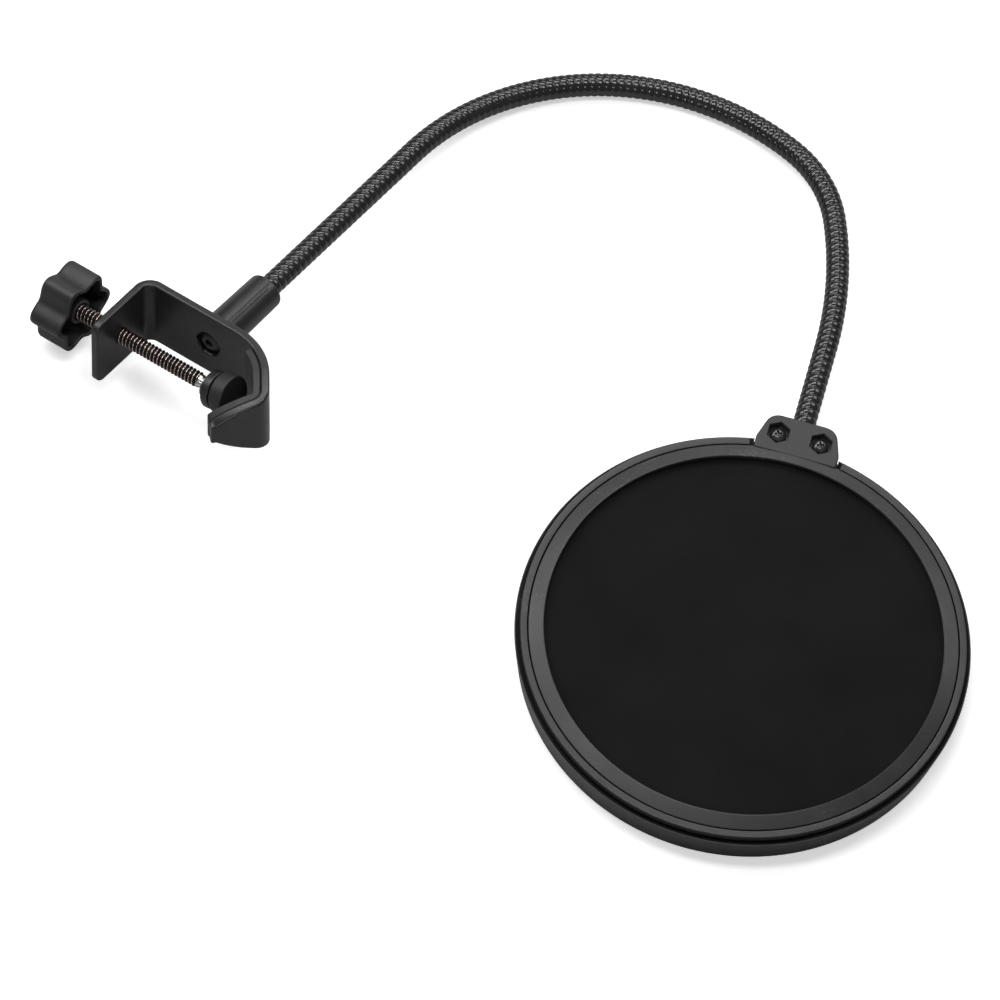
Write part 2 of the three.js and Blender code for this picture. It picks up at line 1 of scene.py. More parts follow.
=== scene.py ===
# Looks of the clamp-on pop filter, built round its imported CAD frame.
# Shapes are worked out in millimetres in the part's own axes and placed in metres.
import json
import math

import bmesh
import bpy
import numpy as np
from mathutils import Matrix, Quaternion, Vector


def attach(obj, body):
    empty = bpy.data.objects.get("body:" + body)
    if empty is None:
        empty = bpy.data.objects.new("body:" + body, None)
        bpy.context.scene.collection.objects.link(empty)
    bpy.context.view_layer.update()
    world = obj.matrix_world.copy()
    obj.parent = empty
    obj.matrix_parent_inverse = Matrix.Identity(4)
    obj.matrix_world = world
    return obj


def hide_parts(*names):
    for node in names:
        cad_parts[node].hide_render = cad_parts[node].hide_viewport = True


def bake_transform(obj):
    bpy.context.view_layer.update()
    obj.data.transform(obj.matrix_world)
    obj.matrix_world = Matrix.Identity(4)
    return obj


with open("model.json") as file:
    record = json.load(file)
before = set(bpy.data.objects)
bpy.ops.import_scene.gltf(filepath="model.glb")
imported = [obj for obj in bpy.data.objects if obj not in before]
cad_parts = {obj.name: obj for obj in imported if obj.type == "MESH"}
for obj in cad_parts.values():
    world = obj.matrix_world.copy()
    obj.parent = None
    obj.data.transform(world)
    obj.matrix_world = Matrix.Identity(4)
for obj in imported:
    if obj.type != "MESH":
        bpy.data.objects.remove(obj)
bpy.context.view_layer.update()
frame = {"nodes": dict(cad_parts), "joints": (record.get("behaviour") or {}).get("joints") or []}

MM = 0.001

# Head: radii from the ring's centre, heights from its rest face
OPENING_R = 68.1
HEAD_R = 77.8
FOOT_R = 75.6  # the outer wall narrows towards its foot
HEAD_HEIGHT = 17.7
FLANGE = 2.0
SKIRT_INNER_R = 71.5
SKIRT_OUTER_R = 73.35
BAND_INNER_R = 73.65
BAND_OUTER_R = 75.1
BAND_LIP_R = 76.1
BAND_TOP = HEAD_HEIGHT - 1.8
BAND_BOTTOM = 7  # it sits on a ledge in the rear ring
WALL_INNER_R = 75.4
WALL_TOP = HEAD_HEIGHT - 4.8
BAND_GAP = 25  # degrees left open for the tab
TAB_REACH = 85.8
TAB_BASE_WIDTH = 29
TAB_TIP_WIDTH = 23
TAB_TOP = HEAD_HEIGHT - 1.1
TAB_BOTTOM = TAB_TOP - 11.4
TAB_SPLIT = HEAD_HEIGHT - 6.5
TAB_SCREW_R = 79
TAB_SCREW_SPACING = 14.9
TAB_HEX = 7  # across the flats
TAB_HEX_DEPTH = 3
TAB_JOIN = 0.15  # half the gap between its two halves
CUT_TOP = 20  # how high the cutters reach, clear of the head

# Gooseneck
NECK_R = 4
NECK_CLEARANCE = 0.3
NECK_ROOT_Y = 12.6
NECK_END_R = 80.3
NECK_TURNS = [[18, 0.1], [79, 0], [146.5, -92], [31.5, -42], [50.5, -20.5], [38.5, 0]]
NECK_CLIMBS = [[87.5, 0], [94, 7.95], [75, 4.49], [107.5, -4.49]]
NECK_LENGTH = sum(length for length, _ in NECK_TURNS)
FIRST_JOINT = 26
LAST_JOINT = 349
NECK_JOINTS = 12
RIB_STRAIGHT = 2.8  # spacing of the winding's turns along a straight stretch
RIB_CURVED = 2.5  # and where it is bent
RIB_CROWN = 0.2  # how far a rib falls away towards its edges
RIB_GROOVE = 0.15  # extra depth of the narrow groove between two ribs

# Clamp: x along the screw, y along the neck socket, z across its width
CLAMP_WIDTH = 27.6
STRAP = 3
LEG_X = -2.4
LEG_END_Y = -30.8
HOOK_START_X = 37.5
LINER = 2.5
LINER_INSET = 0.6
SCREW_Y = -17.8
SCREW_R = 2.85  # over its crests
SCREW_START_X = -25
SCREW_NECK_X = 35
SCREW_TIP_R = 1.8
BALL_X = 41.8
BALL_R = 2.6
THREAD_PITCH = 1.5
THREAD_DEPTH = 0.55
THREAD_HIGHLIGHT_SHARE = 0.25  # part of the depth whose faces take the bright crest copy of the steel, a painted highlight
WASHER_X = 37.4
WASHER_R = 4.2
WASHER_THICKNESS = 0.8
PAD_TILT = 12
PAD_CUP_R = 6.8
PAD_HUB_R = 5.2
PAD_FACE_R = 7.4
PAD_FACE_X = 7.6
KNOB_R = 14.4
KNOB_X = -28.4
KNOB_THICKNESS = 13
KNOB_LOBES = 6
KNOB_PHASE = 23
KNOB_BOSS_R = 5
KNOB_BOSS_END = -16.9
KNOB_FLUTE = 3  # depth between two lobes
KNOB_WALL = 1.9
KNOB_TOP = 3
SOCKET_X = 26.3
SOCKET_LENGTH = 29
SOCKET_R = 6.9
RIDGE_ANGLE = 207  # moulded ridge along it, on its upper side
BOLT_HEAD_R = 4
BOLT_HEAD = 1.7
BOLT_SHANK_R = 2.4
BOLT_KEY = 3  # across the flats
RECESS = 9.2  # across the flats
RECESS_DEPTH = 2.2
RECESS_ROUNDING = 0.7

joints = {joint["name"]: joint for joint in frame["joints"]}


def unit(vector):
    return np.array(vector, float) / np.linalg.norm(vector)


def placement(origin, x, y, z):
    """A matrix from a piece's own axes, in millimetres, to the part's, in metres."""
    matrix = Matrix.Identity(4)
    for column, axis in enumerate((x, y, z)):
        for row in range(3):
            matrix[row][column] = float(axis[row]) * MM
    for row in range(3):
        matrix[row][3] = float(origin[row]) * MM
    return matrix


# The clamp's axes and origin, from its pad's two joints
along_screw = unit(joints["pad_slide"]["axis"])
along_socket = unit(joints["pad_swivel"]["axis"])
across_clamp = np.cross(along_screw, along_socket)
ball = np.array(joints["pad_swivel"]["pos_m"]) / MM
clamp_origin = ball - BALL_X * along_screw - SCREW_Y * along_socket
IN_CLAMP = placement(clamp_origin, along_screw, along_socket, across_clamp)

tilt = math.radians(PAD_TILT)
pad_axis = math.cos(tilt) * along_screw + math.sin(tilt) * across_clamp
IN_PAD = placement(ball, pad_axis, along_socket, np.cross(pad_axis, along_socket))


# Gooseneck's path


def turned_by(stretches, length):
    turn = 0
    for stretch, angle in stretches:
        part = min(length, stretch)
        turn += angle * part / stretch
        length -= part
    return math.radians(turn)


def neck_axes(length):
    """Its direction at a length along it, and those to its left and above it."""
    heading = math.atan2(along_socket[1], along_socket[0]) + turned_by(NECK_TURNS, length)
    climb = math.asin(along_socket[2]) + turned_by(NECK_CLIMBS, length)
    level = np.array([math.cos(heading), math.sin(heading), 0])
    left = np.array([-math.sin(heading), math.cos(heading), 0])
    ahead = level * math.cos(climb) + np.array([0, 0, math.sin(climb)])
    return ahead, left, np.cross(ahead, left)


def neck_line(step):
    point = clamp_origin + SOCKET_X * along_screw + NECK_ROOT_Y * along_socket
    points = [point.copy()]
    length = step / 2
    while length < NECK_LENGTH:
        point = point + neck_axes(length)[0] * step
        points.append(point.copy())
        length += step
    return np.array(points)


LINE_STEP = 0.5
line = neck_line(LINE_STEP)
line_lengths = np.arange(len(line)) * LINE_STEP


def neck_point(length):
    return np.array([np.interp(length, line_lengths, line[:, k]) for k in range(3)])


neck_end_ahead = neck_axes(NECK_LENGTH)[0]
head_centre = neck_point(NECK_LENGTH) + neck_end_ahead * NECK_END_R
head_centre[2] = 0
tab_way = unit([-neck_end_ahead[0], -neck_end_ahead[1], 0])
up = np.array([0, 0, 1.0])
IN_HEAD = placement(head_centre, tab_way, np.cross(up, tab_way), up)


# Meshes


def piece_of(name, vertices, faces, place, sharp=30):
    """A mesh object from points in millimetres, its faces turned out."""
    mesh = bpy.data.meshes.new(name)
    mesh.from_pydata([tuple(map(float, v)) for v in vertices], [], faces)
    mesh.transform(place)
    piece = bpy.data.objects.new(name, mesh)
    bpy.context.scene.collection.objects.link(piece)
    tidy_mesh(piece, sharp)
    return piece


def tidy_mesh(piece, sharp):
    working = bmesh.new()
    working.from_mesh(piece.data)
    bmesh.ops.remove_doubles(working, verts=working.verts, dist=1e-7)
    bmesh.ops.recalc_face_normals(working, faces=working.faces)
    working.to_mesh(piece.data)
    working.free()
    piece.data.shade_smooth()
    piece.data.set_sharp_from_angle(angle=math.radians(sharp))


def rounded(corners, radius, steps=4):
    """A closed outline with rounded corners. A corner may have its own radius, as a third number."""
    out = []
    count = len(corners)
    for i, corner in enumerate(corners):
        here = np.array(corner[:2], float)
        before = np.array(corners[i - 1][:2], float)
        after = np.array(corners[(i + 1) % count][:2], float)
        wanted = corner[2] if len(corner) > 2 else radius
        back = before - here
        on = after - here
        half = math.acos(np.clip(unit(back) @ unit(on), -1, 1)) / 2
        if wanted <= 0 or half > math.radians(89):
            out.append(here)
            continue
        reach = min(wanted / math.tan(half), 0.45 * np.linalg.norm(back), 0.45 * np.linalg.norm(on))
        start = here + unit(back) * reach
        end = here + unit(on) * reach
        for k in range(steps + 1):
            t = k / steps
            out.append((1 - t) ** 2 * start + 2 * t * (1 - t) * here + t**2 * end)
    return out


def lathe(profile, sides, along="z", start=0, sweep=360):
    """Points and faces of an outline of [radius, height] turned about an axis."""
    full = sweep == 360
    stations = sides if full else sides + 1
    vertices = []
    for i in range(stations):
        angle = math.radians(start + sweep * i / sides)
        for r, h in profile:
            vertices.append(on_axis(r * math.cos(angle), r * math.sin(angle), h, along))
    n = len(profile)
    faces = []
    for i in range(sides):
        j = (i + 1) % stations
        for k in range(n):
            m = (k + 1) % n
            if profile[k][0] <= 1e-9 and profile[m][0] <= 1e-9:
                continue
            faces.append((i * n + k, j * n + k, j * n + m, i * n + m))
    if not full:
        faces.append(tuple(range(n)))
        faces.append(tuple(range(sides * n, sides * n + n)))
    return vertices, faces


def on_axis(x, y, height, along):
    if along == "x":
        return (height, y, -x)
    if along == "y":
        return (x, height, -y)
    return (x, y, height)


def prism(outline, low, high, along="z", top=None):
    """Points and faces of an outline drawn out along an axis, to another outline if one is given."""
    n = len(outline)
    vertices = [on_axis(p[0], p[1], low, along) for p in outline]
    vertices += [on_axis(p[0], p[1], high, along) for p in top or outline]
    faces = [tuple(range(n)), tuple(range(n, 2 * n))]
    faces += [(k, (k + 1) % n, n + (k + 1) % n, n + k) for k in range(n)]
    return vertices, faces


def circle(radius, sides):
    angles = [2 * math.pi * k / sides for k in range(sides)]
    return [(radius * math.cos(angle), radius * math.sin(angle)) for angle in angles]


def hexagon(across_flats):
    return circle(across_flats / math.sqrt(3), 6)


def skin(rows, around, capped=False):
    """Faces between rows of points, each row a closed loop, with the two ends closed if asked."""
    faces = []
    for i in range(rows - 1):
        for k in range(around):
            m = (k + 1) % around
            faces.append((i * around + k, i * around + m, (i + 1) * around + m, (i + 1) * around + k))
    if capped:
        faces.append(tuple(range(around)))
        faces.append(tuple(range((rows - 1) * around, rows * around)))
    return faces


def cutter(shape, place):
    return piece_of("cutter", *shape, place)


def combine(piece, others, operation, sharp=30):
    """Cuts other solids out of a piece, or joins them to it, and removes them."""
    for other in others:
        modifier = piece.modifiers.new("combine", "BOOLEAN")
        modifier.object = other
        modifier.operation = operation
        modifier.solver = "EXACT"
    apply_modifiers(piece)
    for other in others:
        bpy.data.objects.remove(other)
    tidy_mesh(piece, sharp)
    return piece


def apply_modifiers(piece):
    graph = bpy.context.evaluated_depsgraph_get()
    made = bpy.data.meshes.new_from_object(piece.evaluated_get(graph))
    piece.modifiers.clear()
    piece.data = made


def bevelled(piece, width, segments=3, angle=40):
    modifier = piece.modifiers.new("bevel", "BEVEL")
    modifier.width = width * MM
    modifier.segments = segments
    modifier.limit_method = "ANGLE"
    modifier.angle_limit = math.radians(angle)
    modifier.use_clamp_overlap = True
    apply_modifiers(piece)
    tidy_mesh(piece, 30)
    return piece


def even_normals(piece):
    """Flat faces stay flat next to rounded edges."""
    modifier = piece.modifiers.new("normals", "WEIGHTED_NORMAL")
    modifier.keep_sharp = True
    modifier.weight = 100
    return piece


# Materials


def mottled(tree, dark, light, size):
    """A colour that wanders between two, over patches of a size in metres."""
    noise = noise_of(tree, size, 4.0)
    return ramped(tree, noise.outputs["Fac"], dark, light, 0.35, 0.65)


def ramped(tree, value, dark, light, low, high):
    ramp = tree.nodes.new("ShaderNodeValToRGB")
    ramp.color_ramp.elements[0].position = low
    ramp.color_ramp.elements[0].color = (*dark, 1)
    ramp.color_ramp.elements[1].position = high
    ramp.color_ramp.elements[1].color = (*light, 1)
    tree.links.new(value, ramp.inputs["Fac"])
    return ramp.outputs["Color"]


def noise_of(tree, size, detail=3.0, stretch=(1, 1, 1)):
    where = tree.nodes.new("ShaderNodeTexCoord")
    mapping = tree.nodes.new("ShaderNodeMapping")
    mapping.inputs["Scale"].default_value = stretch
    noise = tree.nodes.new("ShaderNodeTexNoise")
    noise.inputs["Scale"].default_value = 1 / size
    noise.inputs["Detail"].default_value = detail
    tree.links.new(where.outputs["Object"], mapping.inputs["Vector"])
    tree.links.new(mapping.outputs["Vector"], noise.inputs["Vector"])
    return noise


def material(name, dark, light, roughness, specular=0.5, metallic=0.0, patch=0.02,
             grain=0.0004, bump=0.00001, scuffs=0.0):
    """Plastic, rubber or metal: mottled colour, uneven gloss and a fine grain. Sizes are in metres."""
    made = bpy.data.materials.new(name)
    made.use_nodes = True
    tree = made.node_tree
    shader = tree.nodes["Principled BSDF"]
    shader.inputs["Metallic"].default_value = metallic
    shader.inputs["Specular IOR Level"].default_value = specular
    colour = mottled(tree, dark, light, patch)
    if scuffs:
        colour = scuffed(tree, colour, scuffs)
    tree.links.new(colour, shader.inputs["Base Color"])
    uneven = noise_of(tree, patch / 3, 4.0)
    rough = map_range(tree, uneven.outputs["Fac"], 0.3, 0.7, roughness - 0.05, roughness + 0.05)
    tree.links.new(rough, shader.inputs["Roughness"])
    fine = noise_of(tree, grain, 2.0)
    bumps = tree.nodes.new("ShaderNodeBump")
    bumps.inputs["Strength"].default_value = 1.0
    bumps.inputs["Distance"].default_value = bump
    tree.links.new(fine.outputs["Fac"], bumps.inputs["Height"])
    tree.links.new(bumps.outputs["Normal"], shader.inputs["Normal"])
    return made


def scuffed(tree, colour, strength):
    """Fine pale scratches over a colour, in patches."""
    scratch = noise_of(tree, 0.0012, 6.0, stretch=(1, 1, 6))
    where = noise_of(tree, 0.03, 2.0)
    both = math_node(tree, "MULTIPLY", scratch.outputs["Fac"], where.outputs["Fac"])
    amount = map_range(tree, both, 0.36, 0.46, 0.0, strength)
    mix = tree.nodes.new("ShaderNodeMix")
    mix.data_type = "RGBA"
    mix.inputs["B"].default_value = (0.16, 0.155, 0.15, 1)
    tree.links.new(amount, mix.inputs["Factor"])
    tree.links.new(colour, mix.inputs["A"])
    return mix.outputs["Result"]


def math_node(tree, operation, a, b):
    node = tree.nodes.new("ShaderNodeMath")
    node.operation = operation
    for socket, value in zip(node.inputs, (a, b)):
        if isinstance(value, (int, float)):
            socket.default_value = value
        else:
            tree.links.new(value, socket)
    return node.outputs["Value"]


def map_range(tree, value, from_low, from_high, to_low, to_high):
    node = tree.nodes.new("ShaderNodeMapRange")
    node.inputs["From Min"].default_value = from_low
    node.inputs["From Max"].default_value = from_high
    node.inputs["To Min"].default_value = to_low
    node.inputs["To Max"].default_value = to_high
    tree.links.new(value, node.inputs["Value"])
    return node.outputs["Result"]


def mesh_cloth(name):
    """Fine woven nylon: two sets of threads, with faint tension marks."""
    made = bpy.data.materials.new(name)
    made.use_nodes = True
    tree = made.node_tree
    shader = tree.nodes["Principled BSDF"]
    shader.inputs["Roughness"].default_value = 0.95
    shader.inputs["Specular IOR Level"].default_value = 0.12
    shader.inputs["Sheen Weight"].default_value = 0.02
    shader.inputs["Sheen Roughness"].default_value = 0.5
    where = tree.nodes.new("ShaderNodeTexCoord")
    waves = []
    for direction in ("X", "Y"):
        wave = tree.nodes.new("ShaderNodeTexWave")
        wave.bands_direction = direction
        wave.inputs["Scale"].default_value = 1 / 0.0009
        wave.inputs["Distortion"].default_value = 0.4
        tree.links.new(where.outputs["Object"], wave.inputs["Vector"])
        waves.append(wave.outputs["Fac"])
    weave = math_node(tree, "MAXIMUM", *waves)
    patches = noise_of(tree, 0.035, 3.0)
    shade = math_node(tree, "ADD", math_node(tree, "MULTIPLY", weave, 0.35), patches.outputs["Fac"])
    colour = ramped(tree, shade, (0.0042, 0.0042, 0.0043), (0.0085, 0.0085, 0.0087), 0.45, 1.0)
    tree.links.new(colour, shader.inputs["Base Color"])
    bumps = tree.nodes.new("ShaderNodeBump")
    bumps.inputs["Distance"].default_value = 0.00006
    tree.links.new(weave, bumps.inputs["Height"])
    tree.links.new(bumps.outputs["Normal"], shader.inputs["Normal"])
    return made


RING = material("ring plastic", (0.016, 0.0155, 0.016), (0.021, 0.0205, 0.021), 0.4, 0.42,
                patch=0.03, grain=0.0005, bump=0.000006, scuffs=0.35)
BAND = material("band plastic", (0.012, 0.012, 0.0125), (0.017, 0.0165, 0.017), 0.36, 0.5,
                patch=0.02, bump=0.000006, scuffs=0.2)
CLAMP = material("clamp plastic", (0.006, 0.006, 0.0064), (0.009, 0.009, 0.0095), 0.36, 0.5,
                 patch=0.015, grain=0.0006, bump=0.000012, scuffs=0.12)
SOCKET = material("socket plastic", (0.010, 0.010, 0.0105), (0.014, 0.014, 0.0145), 0.3, 0.5,
                  patch=0.015, grain=0.0006, bump=0.00001)
LINER_RUBBER = material("liner rubber", (0.010, 0.010, 0.010), (0.016, 0.016, 0.016), 0.5, 0.4,
                        patch=0.008, bump=0.00002)
KNOB = material("knob plastic", (0.009, 0.009, 0.0096), (0.014, 0.014, 0.0148), 0.48, 0.45,
                patch=0.01, grain=0.0005, bump=0.00002)
NECK = material("neck coating", (0.008, 0.008, 0.0085), (0.014, 0.0138, 0.014), 0.15, 0.5,
                patch=0.012, grain=0.0004, bump=0.000001)
# The thread is one steel in two copies: the grooves painted near black as painted shade, the crests
# painted bright as a painted highlight
GROOVES_PAINTED_SHADE = material("thread grooves painted shade", (0.008, 0.0065, 0.006), (0.02, 0.016, 0.015), 0.45, 0.4, metallic=0.8,
                 patch=0.004, grain=0.0004, bump=0.000002)
CRESTS_PAINTED_HIGHLIGHT = material("thread crests painted highlight", (0.34, 0.27, 0.255), (0.50, 0.41, 0.385), 0.26, 0.5, metallic=1.0,
                 patch=0.006, grain=0.0004, bump=0.000001)
BRIGHT = material("bright nickel", (0.55, 0.51, 0.49), (0.72, 0.69, 0.67), 0.2, 0.5, metallic=1.0,
                  patch=0.003, grain=0.0002, bump=0.000003)
BLACK_STEEL = material("black oxide", (0.05, 0.05, 0.052), (0.10, 0.10, 0.104), 0.22, 0.6,
                       metallic=0.8, patch=0.002, bump=0.000002)
DULL_STEEL = material("dull black steel", (0.008, 0.008, 0.008), (0.016, 0.016, 0.016), 0.45, 0.4,
                      patch=0.002, bump=0.000002)
FERRULE = material("dark steel", (0.10, 0.10, 0.105), (0.18, 0.18, 0.185), 0.35, 0.5, metallic=1.0,
                   patch=0.004)
SCREEN = mesh_cloth("nylon mesh")


def dress(piece, surface, body, slot, *nodes):
    """Gives a piece its material and its body, and hides the CAD nodes that it stands for. Its slot is not
    used.
    """
    piece.data.materials.clear()
    piece.data.materials.append(surface)
    if body:
        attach(piece, body)
    if nodes:
        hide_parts(*nodes)
    return piece


# Head


def tab_outline(margin=0):
    base = TAB_BASE_WIDTH / 2 + margin
    tip = TAB_TIP_WIDTH / 2 + margin
    end = TAB_REACH + margin
    half = [(SKIRT_INNER_R, base, 0), (BAND_LIP_R, base, 1.5), (end, tip, 5.5)]
    other = [(x, -y, radius) for x, y, radius in half]
    return rounded(other + half[::-1], 0, 8)


def screw_places():
    return [-TAB_SCREW_SPACING / 2, TAB_SCREW_SPACING / 2]


def shifted(x, y, z=0):
    return Matrix.Translation((x, y, z))


def rod(radius, low, high, sides, along="z"):
    return lathe([(0, low), (radius, low), (radius, high), (0, high)], sides, along)


def neck_hole():
    return cutter(rod(NECK_R + NECK_CLEARANCE, 70, 90, 32, "x"), IN_HEAD @ shifted(0, 0, TAB_SPLIT))


def front_ring():
    profile = rounded([
        (OPENING_R, HEAD_HEIGHT, 0.5),
        (OPENING_R, HEAD_HEIGHT - FLANGE, 0.3),
        (SKIRT_INNER_R, HEAD_HEIGHT - FLANGE - 0.3, 0),
        (SKIRT_INNER_R, FLANGE + 0.3, 0.2),
        (SKIRT_OUTER_R, FLANGE + 0.3, 0.2),
        (SKIRT_OUTER_R, BAND_TOP, 0.45),
    ], 0, 3)
    ring = piece_of("hoop_front", *lathe(profile, 360), IN_HEAD)
    tab = piece_of("tab_upper", *prism(tab_outline(), TAB_SPLIT + TAB_JOIN, TAB_TOP), IN_HEAD)
    bevelled(tab, 0.7, 4)
    inside = cutter(rod(SKIRT_INNER_R + 0.2, 0, CUT_TOP, 180), IN_HEAD)
    combine(tab, [inside], "DIFFERENCE")
    combine(ring, [tab], "UNION")
    cuts = [neck_hole()]
    for y in screw_places():
        place = IN_HEAD @ shifted(TAB_SCREW_R, y)
        seat = TAB_TOP - TAB_HEX_DEPTH
        cuts.append(cutter(prism(hexagon(TAB_HEX), seat, TAB_TOP + 1), place))
        cuts.append(cutter(prism(hexagon(TAB_HEX - 0.1), TAB_TOP - 0.3, TAB_TOP + 0.5,
                                 top=hexagon(TAB_HEX + 1.5)), place))
    combine(ring, cuts, "DIFFERENCE")
    return dress(even_normals(ring), RING, "head", "ring_plastic", "front_ring")


def rear_ring():
    profile = rounded([
        (OPENING_R, 0, 0.4),
        (OPENING_R, FLANGE, 0.4),
        (BAND_INNER_R, FLANGE, 0),
        (BAND_INNER_R, BAND_BOTTOM - 0.3, 0),
        (WALL_INNER_R, BAND_BOTTOM - 0.3, 0),
        (WALL_INNER_R, WALL_TOP - 1.4, 0),
        (HEAD_R - 0.4, WALL_TOP, 0.1),
        (HEAD_R, WALL_TOP, 0.25),
        (FOOT_R, 0, 0.9),
    ], 0, 3)
    ring = piece_of("hoop_rear", *lathe(profile, 360), IN_HEAD)
    clearance = cutter(prism(tab_outline(0.3), TAB_SPLIT - TAB_JOIN, CUT_TOP), IN_HEAD)
    combine(ring, [clearance], "DIFFERENCE")
    tab = piece_of("tab_lower", *prism(tab_outline(), TAB_BOTTOM, TAB_SPLIT - TAB_JOIN), IN_HEAD)
    bevelled(tab, 0.5, 3)
    inside = cutter(rod(BAND_INNER_R, 0, CUT_TOP, 180), IN_HEAD)
    combine(tab, [inside], "DIFFERENCE")
    combine(ring, [tab], "UNION")
    combine(ring, [neck_hole()], "DIFFERENCE")
    return dress(even_normals(ring), RING, "head", "ring_plastic", "rear_ring")


def hoop_band():
    profile = rounded([
        (BAND_INNER_R, BAND_BOTTOM, 0.2),
        (BAND_OUTER_R, BAND_BOTTOM, 0.2),
        (BAND_OUTER_R, WALL_TOP + 0.3, 0),
        (BAND_LIP_R, WALL_TOP + 0.3, 0.25),
        (BAND_LIP_R, BAND_TOP, 0.35),
        (BAND_INNER_R, BAND_TOP, 0.35),
    ], 0, 3)
    half = BAND_GAP / 2
    band = piece_of("band", *lathe(profile, 340, start=half, sweep=360 - BAND_GAP), IN_HEAD)
    return dress(even_normals(band), BAND, "head", "band_plastic", "hoop_band")


def screen(name, node, height, bow):
    """A disc of mesh, drawn tight, with a very slight bow."""
    radius = SKIRT_INNER_R - 0.3
    rings = 24
    sides = 144
    vertices = [(0, 0, height + bow)]
    for i in range(1, rings + 1):
        r = radius * i / rings
        for k in range(sides):
            angle = 2 * math.pi * k / sides
            rise = bow * (1 - (r / radius) ** 2)
            vertices.append((r * math.cos(angle), r * math.sin(angle), height + rise))
    faces = [(0, 1 + k, 1 + (k + 1) % sides) for k in range(sides)]
    for i in range(rings - 1):
        a = 1 + i * sides
        b = a + sides
        faces += [(a + k, b + k, b + (k + 1) % sides, a + (k + 1) % sides) for k in range(sides)]
    disc = piece_of(name, vertices, faces, IN_HEAD)
    dress(disc, SCREEN, "head", "screen_nylon", node)
    return disc


def cross_cutter(length, width, low, high, place):
    x = length / 2
    y = width / 2
    bar = prism([(-x, -y), (x, -y), (x, y), (-x, y)], low, high)
    turns = [Matrix.Rotation(math.radians(angle), 4, "Z") for angle in (20, 110)]
    return [cutter(bar, place @ turn) for turn in turns]


def tab_screw(name, node, y):
    seat = TAB_TOP - TAB_HEX_DEPTH
    top = seat + 2.1
    profile = rounded([
        (0, TAB_BOTTOM + 1.5),
        (1.5, TAB_BOTTOM + 1.5),
        (1.5, seat, 0),
        (2.8, seat),
        (2.8, top - 0.9, 0.6),
        (1.4, top, 0.8),
        (0, top),
    ], 0.15, 4)
    place = IN_HEAD @ shifted(TAB_SCREW_R, y)
    screw = piece_of(name, *lathe(profile, 48), place)
    combine(screw, cross_cutter(2.7, 0.62, top - 1.1, top + 1, place), "DIFFERENCE")
    return dress(even_normals(screw), BLACK_STEEL, "head", "black_screws", node)


# Gooseneck


def rib_phase():
    """How many turns of the winding lie before each point of the line."""
    bend = np.zeros(len(line))
    for i, length in enumerate(line_lengths):
        behind = neck_axes(max(length - 10, 0))[0]
        ahead = neck_axes(min(length + 10, NECK_LENGTH))[0]
        bend[i] = math.acos(np.clip(behind @ ahead, -1, 1))
    share = np.clip(bend / math.radians(12), 0, 1)
    pitch = RIB_STRAIGHT + (RIB_CURVED - RIB_STRAIGHT) * share
    return np.cumsum(LINE_STEP / pitch)


PHASE = rib_phase()
AROUND = 36


def neck_surface(start, end):
    """Points of the ribbed surface between two lengths."""
    steps = max(2, int(round((end - start) / 0.2)))
    lengths = np.linspace(start, end, steps + 1)
    angles = np.linspace(0, 2 * math.pi, AROUND, endpoint=False)
    points = np.zeros((steps + 1, AROUND, 3))
    for i, length in enumerate(lengths):
        _, left, above = neck_axes(length)
        centre = neck_point(length)
        turns = np.interp(length, line_lengths, PHASE) - angles / (2 * math.pi)
        across = np.abs(2 * (turns % 1) - 1)
        radius = NECK_R - RIB_CROWN * across**2 - RIB_GROOVE * across**8
        out = np.cos(angles)[:, None] * left + np.sin(angles)[:, None] * above
        points[i] = centre + radius[:, None] * out
    return points


def neck_piece(index, start, end):
    """The stretch of winding round one joint, from the middle of one stretch to the next."""
    margin = 0.4
    points = neck_surface(start - margin, end + margin)
    along = np.gradient(points, axis=0)
    around = np.roll(points, -1, axis=1) - np.roll(points, 1, axis=1)
    normals = np.cross(around, along)
    normals /= np.linalg.norm(normals, axis=2)[:, :, None]
    points = points[2:-2]
    normals = normals[2:-2]
    mesh = bpy.data.meshes.new(f"winding_{index:02d}")
    mesh.from_pydata([tuple(p * MM) for p in points.reshape(-1, 3)], [], skin(len(points), AROUND))
    mesh.shade_smooth()
    mesh.normals_split_custom_set_from_vertices([tuple(n) for n in outward(points, normals, start, end)])
    piece = bpy.data.objects.new(mesh.name, mesh)
    bpy.context.scene.collection.objects.link(piece)
    return piece


def outward(points, normals, start, end):
    middle = neck_point((start + end) / 2)
    row = len(points) // 2
    facing = np.sum(normals[row] * (points[row] - middle), axis=1).sum()
    return (normals if facing > 0 else -normals).reshape(-1, 3)


def neck():
    step = (LAST_JOINT - FIRST_JOINT) / (NECK_JOINTS - 1)
    places = [FIRST_JOINT + i * step for i in range(NECK_JOINTS)]
    middles = [0.4] + [p + step / 2 for p in places[:-1]] + [NECK_LENGTH - 0.4]
    for i, place in enumerate(places):
        piece = neck_piece(i + 1, middles[i], middles[i + 1])
        child = "head" if i == NECK_JOINTS - 1 else f"neck_{i + 1:02d}"
        nodes = [f"neck_coil_{i:02d}"]
        if child == "head":
            nodes.append(f"neck_coil_{NECK_JOINTS:02d}")
        dress(piece, NECK, None, "neck_steel", *nodes)
        ahead = neck_axes(place)[0]
        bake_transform(piece)


# Clamp


